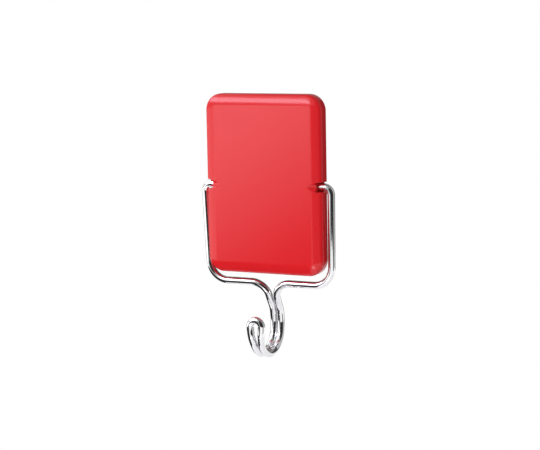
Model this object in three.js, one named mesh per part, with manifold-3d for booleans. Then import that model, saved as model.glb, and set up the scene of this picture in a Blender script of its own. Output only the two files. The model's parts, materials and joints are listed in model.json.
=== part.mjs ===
// Magnetic hook: a flat case full of magnets, with a swinging hook bent from one wire.
//
// Millimetres, +Z up. The grip sheet's rear face lies in the plane Y = 0 and meets the wall,
// the front of the case faces -Y, and X runs to the right as seen from the front.
// The origin is the middle of the rear face.
import * as THREE from 'three';
import { mergeVertices } from 'three/addons/utils/BufferGeometryUtils.js';
import Module from 'manifold-3d';

// The case: a moulded cap with a bevelled front and rounded corners, open at the back
const CASE = {
  width: 51.5,
  height: 72.9,
  depth: 6.2,
  cornerRadius: 6.7,
  leastCornerRadius: 0.5,
  faceCornerRadius: 1.2,
  sideBevel: 4.3,
  endBevel: 4.45,
  bevelDrop: 1.4,
  shoulderRadius: 0.8,
  wall: 1.4,
  ceilingChamfer: 1.5,
};
// How straight the bevel's section is: 1 is a flat chamfer, and less steepens towards the side
const BEVEL_STRAIGHT_share = 0.58;

// The base that closes the back of the case: a flange with a rim that enters the case, and a
// raised block with two windows for the magnets. The block is as high as keeps the hook's shank
// off the wall.
const BASE = {
  flangeInset: 1.9,
  flangeThickness: 1.6,
  rimHeight: 1,
  rimWall: 1.1,
  blockInset: 3.85,
  sideWall: 1.05,
  endWall: 5.8,
  middleBar: 14.7,
  hollowWall: 1.35,
  hollowFloor: 1.6,
  hollowToWire: 1.5,
};

// The rubber sheet on the wall side
const SHEET = {
  thickness: 0.8,
  inset: 0.8,
};

// The block magnets stand in pairs in the windows of the base, with a steel plate in front of
// each pair, in a pocket of ribs
const MAGNETS_BETWEEN = 0.4;
const YOKE = {
  thickness: 1.5,
  border: 0.3,
};
const POCKET_WALL = 0.9;

// The countersunk screws that hold the base, and the bosses that they enter
const SCREW = {
  headRadius: 2.1,
  headHeight: 1.1,
  shankRadius: 1.1,
  engagement: 2.6,
  tipLength: 1,
  recessWidth: 0.5,
  recessLength: 2.2,
  recessDepth: 0.6,
  fromBlockSide: 4.9,
  bossWall: 1.1,
  sink: 0.1,
};

// The wire: its pivot, the bail beside and below the case, the shank and the hook
const WIRE = {
  diameter: 3,
  pivotBelowMiddle: 0.4,
  endLength: 9,
  armGap: 1.05,
  armTaper: 1,
  pivotBend: 3.2,
  barGap: 2.85,
  cornerBend: 8,
  shankBend: 7,
  strandGap: 0.2,
  neckDrop: 7.4,
  neckBack: 2,
  neckBend: 3.2,
  shankDrop: 4.5,
  shankBack: 5.1,
  shankLowerBend: 6,
  hookRadius: 10.1,
  hookDrop: 28.2,
  tipDrop: 12.4,
  tipSpacing: 5,
  tipSpread: 10,
};

// The notch in each side that the wire enters, the scoop that leads to it from the front, the
// block of material behind it, and the cradle further in
const NOTCH = {
  gap: 0.35,
  reach: 2.75,
  scoopLength: 3,
  scoopDepth: 1.5,
  scoopStep: 0.1,
  endWall: 2.6,
  blockMargin: 2,
  cradleInset: 3.5,
  cradleLength: 3.6,
  cradleMargin: 0.9,
};

// Clearances
const SEAT_GAP = 0.15;
const SIDE_GAP = 0.25;
const PIVOT_GAP = 0.2;
const SCREW_GAP = 0.15;
const WALL_GAP = 0.15;
const OVERRUN = 1;

// How finely the round shapes are faceted
const BEVEL_STEPS = 5;
const SHOULDER_STEPS = 3;
const CORNER_STEPS = 8;
const ROUND_STEPS = 20;
const WIRE_SIDES = 16;
const BEND_STEP = THREE.MathUtils.degToRad(13);
// The least step between the wire's stations, as a share of its diameter
const LEAST_STEP_share = 0.1;

// Sizes across, which follow from the driving sizes
const cavityWidth = CASE.width - 2 * CASE.wall;
const cavityHeight = CASE.height - 2 * CASE.wall;
const cavityRadius = CASE.cornerRadius - CASE.wall;
const blockHalfWidth = CASE.width / 2 - BASE.blockInset;
const blockHalfHeight = CASE.height / 2 - BASE.blockInset;
const windowHalfWidth = blockHalfWidth - BASE.sideWall;
const windowHeight = blockHalfHeight - BASE.endWall - BASE.middleBar / 2;
const pairMiddle = (BASE.middleBar + windowHeight) / 2;
const pairHalfWidth = windowHalfWidth - SIDE_GAP;
const magnetHeight = windowHeight - 2 * SIDE_GAP;
const screwX = blockHalfWidth - SCREW.fromBlockSide;
const screwZ = blockHalfHeight - BASE.endWall / 2;
const wireRadius = WIRE.diameter / 2;
const slotRadius = wireRadius + PIVOT_GAP;
const notchWidth = WIRE.diameter + 2 * NOTCH.gap;
const notchWall = CASE.width / 2 - NOTCH.reach;
const wireEnd = notchWall - WIRE.endLength;
const pivotZ = -WIRE.pivotBelowMiddle;

// The wire's course about its pivot, and how far it then reaches towards the wall
const wireCourse = wireStations();
const hanging = hangAngle(wireCourse);
const reachBehind = behindPivot(wireCourse, hanging);

// Depths, from the wall forward
const sheetFront = -SHEET.thickness;
const baseBack = sheetFront - SEAT_GAP;
const pivotY = -reachBehind - WALL_GAP;
const caseBack = pivotY + slotRadius;
const baseFront = caseBack + SEAT_GAP;
const caseFront = caseBack - CASE.depth;
const ceiling = caseFront + CASE.wall;
const yokeFront = ceiling + SEAT_GAP;
const yokeBack = yokeFront + YOKE.thickness;
const magnetFront = yokeBack + SEAT_GAP;
const magnetBack = baseBack - SEAT_GAP;
const screwBack = baseBack - SCREW.sink;
const screwFront = caseBack - SCREW.engagement;

const wasm = await Module();
wasm.setup();

// A closed three.js geometry as a solid that can be joined and cut
function solid(geometry) {
  const bare = geometry.clone();
  bare.deleteAttribute('normal');
  bare.deleteAttribute('uv');
  const merged = mergeVertices(bare);
  return new wasm.Manifold(new wasm.Mesh({
    numProp: 3,
    vertProperties: new Float32Array(merged.attributes.position.array),
    triVerts: new Uint32Array(merged.index.array),
  }));
}

// The geometry of a solid
function geometryOf(body) {
  const mesh = body.getMesh();
  const geometry = new THREE.BufferGeometry();
  geometry.setAttribute('position', new THREE.BufferAttribute(mesh.vertProperties, mesh.numProp));
  geometry.setIndex(new THREE.BufferAttribute(mesh.triVerts, 1));
  return geometry.toNonIndexed();
}

function joined(first, ...others) {
  return others.reduce((sum, other) => sum.add(other), first);
}

function cut(first, ...tools) {
  return tools.reduce((rest, tool) => rest.subtract(tool), first);
}

// A box between two corners
function block(x0, x1, y0, y1, z0, z1) {
  const geometry = new THREE.BoxGeometry(Math.abs(x1 - x0), Math.abs(y1 - y0), Math.abs(z1 - z0));
  geometry.translate((x0 + x1) / 2, (y0 + y1) / 2, (z0 + z1) / 2);
  return solid(geometry);
}

// A groove along X with a round front and an open back
function groove(radius, x0, x1, y, backY, z) {
  const shape = new THREE.Shape();
  shape.absarc(0, y, radius, Math.PI, 2 * Math.PI);
  shape.lineTo(radius, backY);
  shape.lineTo(-radius, backY);
  const geometry = new THREE.ExtrudeGeometry(shape, {
    depth: Math.abs(x1 - x0),
    bevelEnabled: false,
    curveSegments: ROUND_STEPS / 4,
  });
  geometry.rotateY(Math.PI / 2);
  geometry.translate(Math.min(x0, x1), 0, z);
  return solid(geometry);
}

// A cylinder or cone along Y, with its radius at the back and at the front
function barAlongY(backRadius, frontRadius, backY, frontY, x, z) {
  const geometry = new THREE.CylinderGeometry(backRadius, frontRadius, backY - frontY, ROUND_STEPS);
  geometry.translate(x, (backY + frontY) / 2, z);
  return solid(geometry);
}

// A flat plate with rounded corners between two depths
function plate(width, height, radius, backY, frontY) {
  const shape = new THREE.Shape();
  const halfWidth = width / 2;
  const halfHeight = height / 2;
  shape.absarc(halfWidth - radius, halfHeight - radius, radius, 0, Math.PI / 2);
  shape.absarc(radius - halfWidth, halfHeight - radius, radius, Math.PI / 2, Math.PI);
  shape.absarc(radius - halfWidth, radius - halfHeight, radius, Math.PI, 1.5 * Math.PI);
  shape.absarc(halfWidth - radius, radius - halfHeight, radius, 1.5 * Math.PI, 2 * Math.PI);
  const geometry = new THREE.ExtrudeGeometry(shape, {
    depth: backY - frontY,
    bevelEnabled: false,
    curveSegments: CORNER_STEPS / 2,
  });
  geometry.rotateX(Math.PI / 2);
  geometry.translate(0, backY, 0);
  return solid(geometry);
}

// A rounded rectangle's points at one depth, counterclockwise as seen from the front
function ring(width, height, radius, y) {
  const points = [];
  for (const [side, end, start] of [[1, 1, 0], [-1, 1, 1], [-1, -1, 2], [1, -1, 3]]) {
    const centreX = side * (width / 2 - radius);
    const centreZ = end * (height / 2 - radius);
    for (let step = 0; step <= CORNER_STEPS; step += 1) {
      const angle = (start + step / CORNER_STEPS) * Math.PI / 2;
      points.push(new THREE.Vector3(
        centreX + radius * Math.cos(angle), y, centreZ + radius * Math.sin(angle),
      ));
    }
  }
  return points;
}

// A solid skinned over rings that follow each other from back to front
function skinned(rings) {
  const positions = [];
  const push = (...corners) => corners.forEach((corner) => positions.push(...corner.toArray()));
  const count = rings[0].length;
  for (let level = 0; level + 1 < rings.length; level += 1) {
    const back = rings[level];
    const front = rings[level + 1];
    for (let i = 0; i < count; i += 1) {
      const next = (i + 1) % count;
      push(back[i], back[next], front[i], back[next], front[next], front[i]);
    }
  }
  const backRing = rings[0];
  const frontRing = rings[rings.length - 1];
  for (let i = 1; i + 1 < count; i += 1) {
    push(backRing[0], backRing[i + 1], backRing[i], frontRing[0], frontRing[i], frontRing[i + 1]);
  }
  const geometry = new THREE.BufferGeometry();
  geometry.setAttribute('position', new THREE.Float32BufferAttribute(positions, 3));
  return solid(geometry);
}

// How far the bevel has fallen back at an inset from the case's outline
function bevelFall(inset) {
  const crossed = 1 - inset / CASE.sideBevel;
  const steepening = 1 - BEVEL_STRAIGHT_share;
  return CASE.bevelDrop * crossed * (BEVEL_STRAIGHT_share + steepening * crossed);
}

// The bevel's section from the side wall to the flat face: the inset and the fall of each ring.
// An arc joins the side wall to the bevel.
function bevelSection() {
  const radius = CASE.shoulderRadius;
  const steepest = Math.atan(CASE.bevelDrop / CASE.sideBevel * (2 - BEVEL_STRAIGHT_share));
  const arcEnd = radius * (1 - Math.sin(steepest));
  const arcCentre = bevelFall(arcEnd) + radius * Math.cos(steepest);
  const section = [];
  for (let step = 0; step < SHOULDER_STEPS; step += 1) {
    const angle = THREE.MathUtils.lerp(Math.PI / 2, steepest, step / SHOULDER_STEPS);
    section.push([radius * (1 - Math.sin(angle)), arcCentre - radius * Math.cos(angle)]);
  }
  for (let step = 0; step <= BEVEL_STEPS; step += 1) {
    const inset = THREE.MathUtils.lerp(arcEnd, CASE.sideBevel, step / BEVEL_STEPS);
    section.push([inset, bevelFall(inset)]);
  }
  return section;
}

// The outside of the case
function caseOutside() {
  const rings = [ring(CASE.width, CASE.height, CASE.cornerRadius, caseBack)];
  for (const [inset, fall] of bevelSection()) {
    const drawnIn = inset / CASE.sideBevel;
    rings.push(ring(
      CASE.width - 2 * inset,
      CASE.height - 2 * CASE.endBevel * drawnIn,
      THREE.MathUtils.lerp(CASE.cornerRadius, CASE.faceCornerRadius, drawnIn),
      caseFront + fall,
    ));
  }
  return skinned(rings);
}

// The hollow inside, with a chamfer that follows the bevel
function caseCavity() {
  const chamfer = CASE.ceilingChamfer;
  const chamferBack = ceiling + chamfer;
  return skinned([
    ring(cavityWidth, cavityHeight, cavityRadius, caseBack + OVERRUN),
    ring(cavityWidth, cavityHeight, cavityRadius, chamferBack),
    ring(cavityWidth - 2 * chamfer, cavityHeight - 2 * chamfer, cavityRadius - chamfer, ceiling),
  ]);
}

// The block of material behind each notch, and the cradle further in, before they are cut
function pivotSupports(side) {
  const frontY = caseFront + CASE.wall / 2;
  const blockHalf = notchWidth / 2 + NOTCH.blockMargin;
  const endBlock = block(
    side * (notchWall - NOTCH.endWall), side * (cavityWidth + CASE.wall) / 2, frontY, caseBack,
    pivotZ - blockHalf, pivotZ + blockHalf,
  );
  const cradleHalf = slotRadius + NOTCH.cradleMargin;
  const cradleOuter = notchWall - NOTCH.cradleInset;
  const cradle = block(
    side * (cradleOuter - NOTCH.cradleLength), side * cradleOuter, frontY, pivotY,
    pivotZ - cradleHalf, pivotZ + cradleHalf,
  );
  return joined(endBlock, cradle);
}

// What is cut away for the wire at one side: the notch through the side and the bevel, the slot
// behind it that is open to the back, and the scoop in the face
function pivotCuts(side) {
  const outer = side * (CASE.width / 2 + OVERRUN);
  const inner = side * (wireEnd - PIVOT_GAP);
  const backY = caseBack + OVERRUN;
  const notch = block(
    side * notchWall, outer, caseFront - OVERRUN, backY,
    pivotZ - notchWidth / 2, pivotZ + notchWidth / 2,
  );
  const slot = groove(slotRadius, inner, outer, pivotY, backY, pivotZ);
  return joined(notch, slot, scoop(side));
}

// A round-bottomed ramp in the face that leads down into the notch
function scoop(side) {
  const radius = notchWidth / 2 - NOTCH.scoopStep;
  const slope = Math.atan2(NOTCH.scoopDepth, NOTCH.scoopLength);
  const length = (NOTCH.scoopLength + NOTCH.reach) / Math.cos(slope) + 2 * radius;
  const geometry = new THREE.CylinderGeometry(radius, radius, length, ROUND_STEPS);
  geometry.rotateZ(Math.PI / 2);
  geometry.translate(length / 2 - radius, -radius, 0);
  geometry.rotateZ(slope);
  geometry.translate(notchWall - NOTCH.scoopLength, caseFront, 0);
  if (side < 0) geometry.rotateY(Math.PI);
  geometry.translate(0, 0, pivotZ);
  return solid(geometry);
}

// Thin ribs that locate one pair of magnets and its yoke plate
function magnetPocket(end) {
  const middle = end * pairMiddle;
  const halfWidth = pairHalfWidth + YOKE.border + SIDE_GAP;
  const halfHeight = magnetHeight / 2 + YOKE.border + SIDE_GAP;
  const ribBack = baseFront - BASE.rimHeight - SIDE_GAP;
  const frame = (grow, frontY, backY) => block(
    -halfWidth - grow, halfWidth + grow, frontY, backY,
    middle - halfHeight - grow, middle + halfHeight + grow,
  );
  return cut(
    frame(POCKET_WALL, caseFront + CASE.wall / 2, ribBack),
    frame(0, ceiling, ribBack + OVERRUN),
  );
}

// The four screws: name, side and end
const SCREWS = [
  ['base_screw_upper_left', -1, 1],
  ['base_screw_upper_right', 1, 1],
  ['base_screw_lower_left', -1, -1],
  ['base_screw_lower_right', 1, -1],
];

// One round bar at each screw's place
function atScrews(backRadius, frontRadius, backY, frontY) {
  return SCREWS.map(([, side, end]) => barAlongY(
    backRadius, frontRadius, backY, frontY, side * screwX, end * screwZ,
  ));
}

function frontCase() {
  const bossRadius = SCREW.shankRadius + SCREW.bossWall;
  const boreRadius = SCREW.shankRadius + SCREW_GAP;
  const bosses = atScrews(bossRadius, bossRadius, caseBack, caseFront + CASE.wall / 2);
  const bores = atScrews(boreRadius, boreRadius, caseBack + OVERRUN, screwFront - SCREW_GAP);
  const body = joined(
    cut(caseOutside(), caseCavity()),
    pivotSupports(1), pivotSupports(-1), magnetPocket(1), magnetPocket(-1), ...bosses,
  );
  return cut(body, pivotCuts(1), pivotCuts(-1), ...bores);
}

// A plate with the case's outline drawn in by an inset
function insetPlate(inset, backY, frontY) {
  const radius = Math.max(CASE.cornerRadius - inset, CASE.leastCornerRadius);
  return plate(CASE.width - 2 * inset, CASE.height - 2 * inset, radius, backY, frontY);
}

// The rim of the base, broken where the case holds the wire
function baseRim() {
  const outerInset = CASE.wall + SIDE_GAP;
  const front = baseFront - BASE.rimHeight;
  const outside = insetPlate(outerInset, baseFront + BASE.flangeThickness / 2, front);
  const inside = insetPlate(outerInset + BASE.rimWall, baseBack, front - OVERRUN);
  const half = notchWidth / 2 + NOTCH.blockMargin + SIDE_GAP;
  const gap = block(
    -CASE.width, CASE.width, baseFront, front - OVERRUN, pivotZ - half, pivotZ + half,
  );
  return cut(outside, inside, gap);
}

// The base: the block's front closes the slots behind the wire's ends
function magnetBase() {
  const flange = insetPlate(BASE.flangeInset, baseFront + BASE.flangeThickness, baseFront);
  const raised = insetPlate(BASE.blockInset, baseBack, baseFront);
  const backY = baseBack + OVERRUN;
  const frontY = baseFront - OVERRUN;
  const windows = [1, -1].map((end) => block(
    -windowHalfWidth, windowHalfWidth, backY, frontY,
    end * pairMiddle - windowHeight / 2, end * pairMiddle + windowHeight / 2,
  ));
  const hollowX = wireEnd - BASE.hollowToWire;
  const hollowZ = BASE.middleBar / 2 - BASE.hollowWall;
  const hollow = block(
    -hollowX, hollowX, baseBack - BASE.hollowFloor, frontY, -hollowZ, hollowZ,
  );
  const holeRadius = SCREW.shankRadius + SCREW_GAP;
  const holes = atScrews(holeRadius, holeRadius, backY, frontY);
  return cut(joined(flange, raised, baseRim()), ...windows, hollow, ...holes, ...screwSinks());
}

// The conical seats of the screws' heads
function screwSinks() {
  const narrow = SCREW.shankRadius + SCREW_GAP;
  const wide = SCREW.headRadius + SCREW_GAP;
  const depth = SCREW.sink + SCREW.headHeight + SCREW_GAP;
  const wider = (wide - narrow) * OVERRUN / depth;
  return atScrews(wide + wider, narrow, baseBack + OVERRUN, baseBack - depth);
}

function gripSheet() {
  return insetPlate(BASE.blockInset + SHEET.inset, 0, sheetFront);
}

function yokePlate(end) {
  const halfWidth = pairHalfWidth + YOKE.border;
  const halfHeight = magnetHeight / 2 + YOKE.border;
  const middle = end * pairMiddle;
  return block(
    -halfWidth, halfWidth, yokeFront, yokeBack, middle - halfHeight, middle + halfHeight,
  );
}

function magnet(side, end) {
  const middle = end * pairMiddle;
  return block(
    side * MAGNETS_BETWEEN / 2, side * pairHalfWidth, magnetFront, magnetBack,
    middle - magnetHeight / 2, middle + magnetHeight / 2,
  );
}

// One countersunk screw with a cross recess, its head towards the wall
function baseScrew(side, end) {
  const x = side * screwX;
  const z = end * screwZ;
  const profile = [
    new THREE.Vector2(0, screwFront),
    new THREE.Vector2(SCREW.shankRadius, screwFront + SCREW.tipLength),
    new THREE.Vector2(SCREW.shankRadius, screwBack - SCREW.headHeight),
    new THREE.Vector2(SCREW.headRadius, screwBack),
    new THREE.Vector2(0, screwBack),
  ];
  const turned = new THREE.LatheGeometry(profile, ROUND_STEPS);
  turned.translate(x, 0, z);
  const halfWidth = SCREW.recessWidth / 2;
  const halfLength = SCREW.recessLength / 2;
  const floor = screwBack - SCREW.recessDepth;
  const top = screwBack + OVERRUN;
  return cut(
    solid(turned),
    block(x - halfWidth, x + halfWidth, floor, top, z - halfLength, z + halfLength),
    block(x - halfLength, x + halfLength, floor, top, z - halfWidth, z + halfWidth),
  );
}

// A path through corner points with a round bend at each: [point, bend radius] for each corner.
// It holds the two ends and the stations of each bend.
function bentPath(corners) {
  const stations = [corners[0][0].clone()];
  for (let i = 1; i + 1 < corners.length; i += 1) {
    const [corner, radius] = corners[i];
    const before = corners[i - 1][0].clone().sub(corner).normalize();
    const after = corners[i + 1][0].clone().sub(corner).normalize();
    const turn = Math.PI - before.angleTo(after);
    const setback = radius * Math.tan(turn / 2);
    const start = corner.clone().addScaledVector(before, setback);
    const inward = before.clone().add(after).normalize();
    const centre = corner.clone().addScaledVector(inward, radius / Math.cos(turn / 2));
    const first = start.clone().sub(centre);
    const axis = after.clone().cross(before).normalize();
    const steps = Math.max(1, Math.ceil(turn / BEND_STEP));
    for (let step = 0; step <= steps; step += 1) {
      stations.push(first.clone().applyAxisAngle(axis, turn * step / steps).add(centre));
    }
  }
  stations.push(corners[corners.length - 1][0].clone());
  return stations;
}

// The right-hand half of the wire: out along the pivot, down the arm, in along the bar, down and
// back along the shank, and round the hook to its tip
function rightHalf() {
  const beside = (WIRE.diameter + WIRE.strandGap) / 2;
  const armX = CASE.width / 2 + WIRE.armGap + wireRadius;
  const barZ = -CASE.height / 2 - pivotZ - WIRE.barGap - wireRadius;
  const neckZ = barZ - WIRE.neckDrop;
  const bottomZ = barZ - WIRE.hookDrop;
  const tipY = WIRE.shankBack - 2 * WIRE.hookRadius;
  return bentPath([
    [new THREE.Vector3(wireEnd, 0, 0), 0],
    [new THREE.Vector3(armX, 0, 0), WIRE.pivotBend],
    [new THREE.Vector3(armX - WIRE.armTaper, 0, barZ), WIRE.cornerBend],
    [new THREE.Vector3(beside, 0, barZ), WIRE.shankBend],
    [new THREE.Vector3(beside, WIRE.neckBack, neckZ), WIRE.neckBend],
    [new THREE.Vector3(beside, WIRE.shankBack, neckZ - WIRE.shankDrop), WIRE.shankLowerBend],
    [new THREE.Vector3(beside, WIRE.shankBack, bottomZ), WIRE.hookRadius],
    [new THREE.Vector3(beside, tipY, bottomZ), WIRE.hookRadius],
    [new THREE.Vector3(beside, tipY, barZ - WIRE.tipDrop - WIRE.tipSpacing / 2), 0],
  ]);
}

// The same stations with the strand drawn away from its twin on the last stretch to the tip
function spreadAtTip(stations) {
  const beside = stations[stations.length - 1].x;
  let toTip = 0;
  const fromTip = stations.slice().reverse();
  const spread = fromTip.map((station, i) => {
    if (i > 0) toTip += station.distanceTo(fromTip[i - 1]);
    if (toTip > WIRE.tipSpread) return station;
    const together = THREE.MathUtils.smoothstep(toTip, 0, WIRE.tipSpread);
    return station.clone().setX(THREE.MathUtils.lerp(WIRE.tipSpacing / 2, beside, together));
  });
  return spread.reverse();
}

// The half circle that joins the strands, from the right-hand strand's end to the left's
function tipLoop(start) {
  const steps = Math.ceil(Math.PI / BEND_STEP);
  const loop = [];
  for (let step = 1; step < steps; step += 1) {
    const angle = Math.PI * step / steps;
    loop.push(new THREE.Vector3(
      start.x * Math.cos(angle), start.y, start.z + start.x * Math.sin(angle),
    ));
  }
  return loop;
}

// The stations of the whole wire, with those that fall on each other left out
function wireStations() {
  const half = spreadAtTip(rightHalf());
  const mirrored = half.map((station) => station.clone().setX(-station.x)).reverse();
  const all = [...half, ...tipLoop(half[half.length - 1]), ...mirrored];
  const least = WIRE.diameter * LEAST_STEP_share;
  return all.filter((station, i) => i === 0 || station.distanceTo(all[i - 1]) > least);
}

// A curve whose steps are the stations themselves
class BentWire extends THREE.Curve {
  constructor(stations) {
    super();
    this.stations = stations;
  }

  getPoint(t, target = new THREE.Vector3()) {
    const last = this.stations.length - 1;
    const place = THREE.MathUtils.clamp(t, 0, 1) * last;
    const index = Math.min(Math.floor(place + Number.EPSILON * last), last - 1);
    return target.lerpVectors(this.stations[index], this.stations[index + 1], place - index);
  }

  getPointAt(u, target) {
    return this.getPoint(u, target);
  }

  getTangentAt(u, target = new THREE.Vector3()) {
    const last = this.stations.length - 1;
    const index = Math.round(u * last);
    const here = this.stations[index];
    const into = here.clone().sub(this.stations[Math.max(index - 1, 0)]).normalize();
    const out = this.stations[Math.min(index + 1, last)].clone().sub(here).normalize();
    return target.copy(into).add(out).normalize();
  }
}

// The angle at which the wire hangs from its pivot, with its centre of mass straight below
function hangAngle(stations) {
  const sum = new THREE.Vector3();
  let length = 0;
  for (let i = 0; i + 1 < stations.length; i += 1) {
    const span = stations[i].distanceTo(stations[i + 1]);
    sum.addScaledVector(stations[i].clone().add(stations[i + 1]), span / 2);
    length += span;
  }
  const centre = sum.divideScalar(length);
  return Math.atan(centre.y / centre.z);
}

// How far the hanging wire reaches behind its pivot
function behindPivot(stations, angle) {
  const axis = new THREE.Vector3(1, 0, 0);
  const depths = stations.map((station) => station.clone().applyAxisAngle(axis, angle).y);
  return Math.max(...depths) + wireRadius;
}

function hookWire(stations) {
  const section = new THREE.Shape();
  section.absarc(0, 0, wireRadius, 0, 2 * Math.PI);
  return new THREE.ExtrudeGeometry(section, {
    steps: stations.length - 1,
    curveSegments: WIRE_SIDES / 2,
    extrudePath: new BentWire(stations),
  });
}

const MATERIALS = {
  redPlastic: { color: 0xdf2b31, roughness: 0.16, metalness: 0 },
  blackPlastic: { color: 0x1f2022, roughness: 0.5, metalness: 0 },
  rubber: { color: 0x2b2c2e, roughness: 0.85, metalness: 0 },
  steel: { color: 0xaeb1b5, roughness: 0.35, metalness: 1 },
  ferrite: { color: 0x3a3b3e, roughness: 0.6, metalness: 0.3 },
  plating: { color: 0xe3e5e8, roughness: 0.06, metalness: 1 },
};

function piece(name, shape, finish) {
  const geometry = shape.isBufferGeometry ? shape : geometryOf(shape);
  geometry.computeVertexNormals();
  const mesh = new THREE.Mesh(geometry, new THREE.MeshStandardMaterial(MATERIALS[finish]));
  mesh.name = name;
  return mesh;
}

function magnetCase() {
  const group = new THREE.Group();
  group.add(
    piece('front_case', frontCase(), 'redPlastic'),
    piece('magnet_base', magnetBase(), 'blackPlastic'),
    piece('grip_sheet', gripSheet(), 'rubber'),
    piece('yoke_upper', yokePlate(1), 'steel'),
    piece('yoke_lower', yokePlate(-1), 'steel'),
    piece('magnet_upper_left', magnet(-1, 1), 'ferrite'),
    piece('magnet_upper_right', magnet(1, 1), 'ferrite'),
    piece('magnet_lower_left', magnet(-1, -1), 'ferrite'),
    piece('magnet_lower_right', magnet(1, -1), 'ferrite'),
  );
  for (const [name, side, end] of SCREWS) {
    group.add(piece(name, baseScrew(side, end), 'steel'));
  }
  return group;
}

// The wire's own frame has its origin on the pivot, and it hangs at its own angle
function swingingHook() {
  const group = new THREE.Group();
  group.add(piece('hook_wire', hookWire(wireCourse), 'plating'));
  group.position.set(0, pivotY, pivotZ);
  group.rotation.x = hanging;
  return group;
}

const magneticHook = new THREE.Group();
magneticHook.add(magnetCase(), swingingHook());

export default magneticHook;
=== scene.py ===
"""Magnetic hook: the finished pieces, their materials and the studio around them.

Metres, +Z up. The wall is the plane Y = 0 and the front of the case faces -Y.
"""
import json
from math import atan, atan2, cos, pi, radians, sin, tan

import bmesh
import bpy
import numpy as np
from bpy.props import FloatProperty, FloatVectorProperty, PointerProperty
from mathutils import Matrix, Vector


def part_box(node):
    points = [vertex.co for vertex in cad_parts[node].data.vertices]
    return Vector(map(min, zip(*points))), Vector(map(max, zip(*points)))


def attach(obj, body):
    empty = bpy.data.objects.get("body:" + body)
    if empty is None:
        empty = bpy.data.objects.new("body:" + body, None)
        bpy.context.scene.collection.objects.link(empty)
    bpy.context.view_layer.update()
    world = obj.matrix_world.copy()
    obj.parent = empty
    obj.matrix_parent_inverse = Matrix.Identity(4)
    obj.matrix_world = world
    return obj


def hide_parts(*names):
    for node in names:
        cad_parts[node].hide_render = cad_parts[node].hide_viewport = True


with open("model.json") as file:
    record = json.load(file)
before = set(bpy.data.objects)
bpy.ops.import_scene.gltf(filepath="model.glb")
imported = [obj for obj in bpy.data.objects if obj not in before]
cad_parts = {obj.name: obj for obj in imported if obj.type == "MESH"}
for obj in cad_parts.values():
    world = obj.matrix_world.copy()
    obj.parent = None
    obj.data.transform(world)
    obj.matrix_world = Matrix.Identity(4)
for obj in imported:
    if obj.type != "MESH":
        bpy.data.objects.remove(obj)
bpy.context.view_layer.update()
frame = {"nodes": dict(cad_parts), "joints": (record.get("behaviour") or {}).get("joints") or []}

bl_info = {
    "name": "Magnetic hook",
    "version": (1, 0, 0),
    "blender": (4, 5, 0),
    "location": "View3D > Sidebar > Hook",
    "description": "A magnet case with a swinging hook bent from one wire",
    "category": "Add Mesh",
}

CASE_LOW, CASE_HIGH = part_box("front_case")
BASE_LOW, BASE_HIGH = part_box("magnet_base")
PIVOT = frame["joints"][0]["pos_m"]


def mm(value):
    """Millimetres in metres."""
    return value / 1000


# How far a cutter runs past what it cuts
PAST = mm(1)
# Edges over these angles, in degrees, stay sharp: on the mouldings, and on the sheet and the wire
CREASE, SOFT_CREASE = 32, 50


def length(name, default, description):
    """A length that a user can change."""
    return FloatProperty(name=name, description=description, default=default, min=0, unit="LENGTH")


def colour(name, default, description):
    """A colour that a user can change."""
    return FloatVectorProperty(
        name=name, description=description, default=default, size=3, min=0, max=1, subtype="COLOR"
    )


def angle(name, default, description):
    """An angle that a user can change."""
    return FloatProperty(
        name=name, description=description, default=radians(default), subtype="ANGLE"
    )


class CaseSizes(bpy.types.PropertyGroup):
    """Sizes of the moulded case"""

    width: length("Width", CASE_HIGH.x - CASE_LOW.x, "Across the case")
    height: length("Height", CASE_HIGH.z - CASE_LOW.z, "From bottom to top")
    depth: length("Depth", CASE_HIGH.y - CASE_LOW.y, "From the rear rim to the flat face")
    corner_radius: length("Corner radius", mm(6.7), "Of the outline's corners")
    face_radius: length("Face corner radius", mm(1.2), "Of the flat face's corners")
    side_bevel: length("Side bevel", mm(4.3), "Width of the bevel at the sides")
    end_bevel: length("End bevel", mm(4.45), "Width of the bevel at top and bottom")
    bevel_drop: length("Bevel drop", mm(1.4), "How far the bevel falls back")
    bevel_straight: FloatProperty(
        name="Bevel straightness", description="1 is a flat bevel, and less is rounder",
        default=0.35, min=0, max=1, subtype="FACTOR",
    )
    crease_softness: FloatProperty(
        name="Crease softness", description="Rounding round the flat face, as a share of the bevel",
        default=0.1, min=0.01, max=0.5, subtype="FACTOR",
    )
    shoulder_radius: length("Shoulder radius", mm(2), "Rounding between the bevel and the side")
    wall: length("Wall", mm(1.4), "Thickness of the moulding")
    inner_chamfer: length("Inner chamfer", mm(1.5), "Between the side walls and the ceiling inside")
    rim_fillet: length("Rim fillet", mm(0.25), "Rounding of the rear rim")
    rib: length("Rib", mm(0.9), "Thickness of the ribs round the magnets")
    rib_gap: length("Rib gap", mm(0.3), "Between the edge of a window and the ribs")
    rib_stop: length("Rib stop", mm(1.1), "From the ribs to the rear rim")
    cradle_inset: length("Cradle inset", mm(3.5), "From the notch to the wire's cradle")
    cradle: length("Cradle", mm(3.6), "Length of the wire's cradle")
    cradle_side: length("Cradle side", mm(0.75), "From the notch's edge to the cradle's side")
    boss_radius: length("Boss radius", mm(2.2), "Of the screws' bosses")
    bore_depth: length("Bore depth", mm(2.75), "Of the bores in the screws' bosses")
    notch_width: length("Notch width", mm(3.7), "Across the notch that takes the wire")
    notch_reach: length("Notch reach", mm(2.75), "How deep the notch goes in from the side")
    block: length("Block", mm(2.6), "Thickness of the block behind the notch")
    block_side: length("Block side", mm(2), "From the notch's edge to the block's side")
    scoop_length: length("Scoop length", mm(3), "How far the scoop runs in over the face")
    scoop_depth: length("Scoop depth", mm(1.5), "Of the scoop where it meets the notch")


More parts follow.
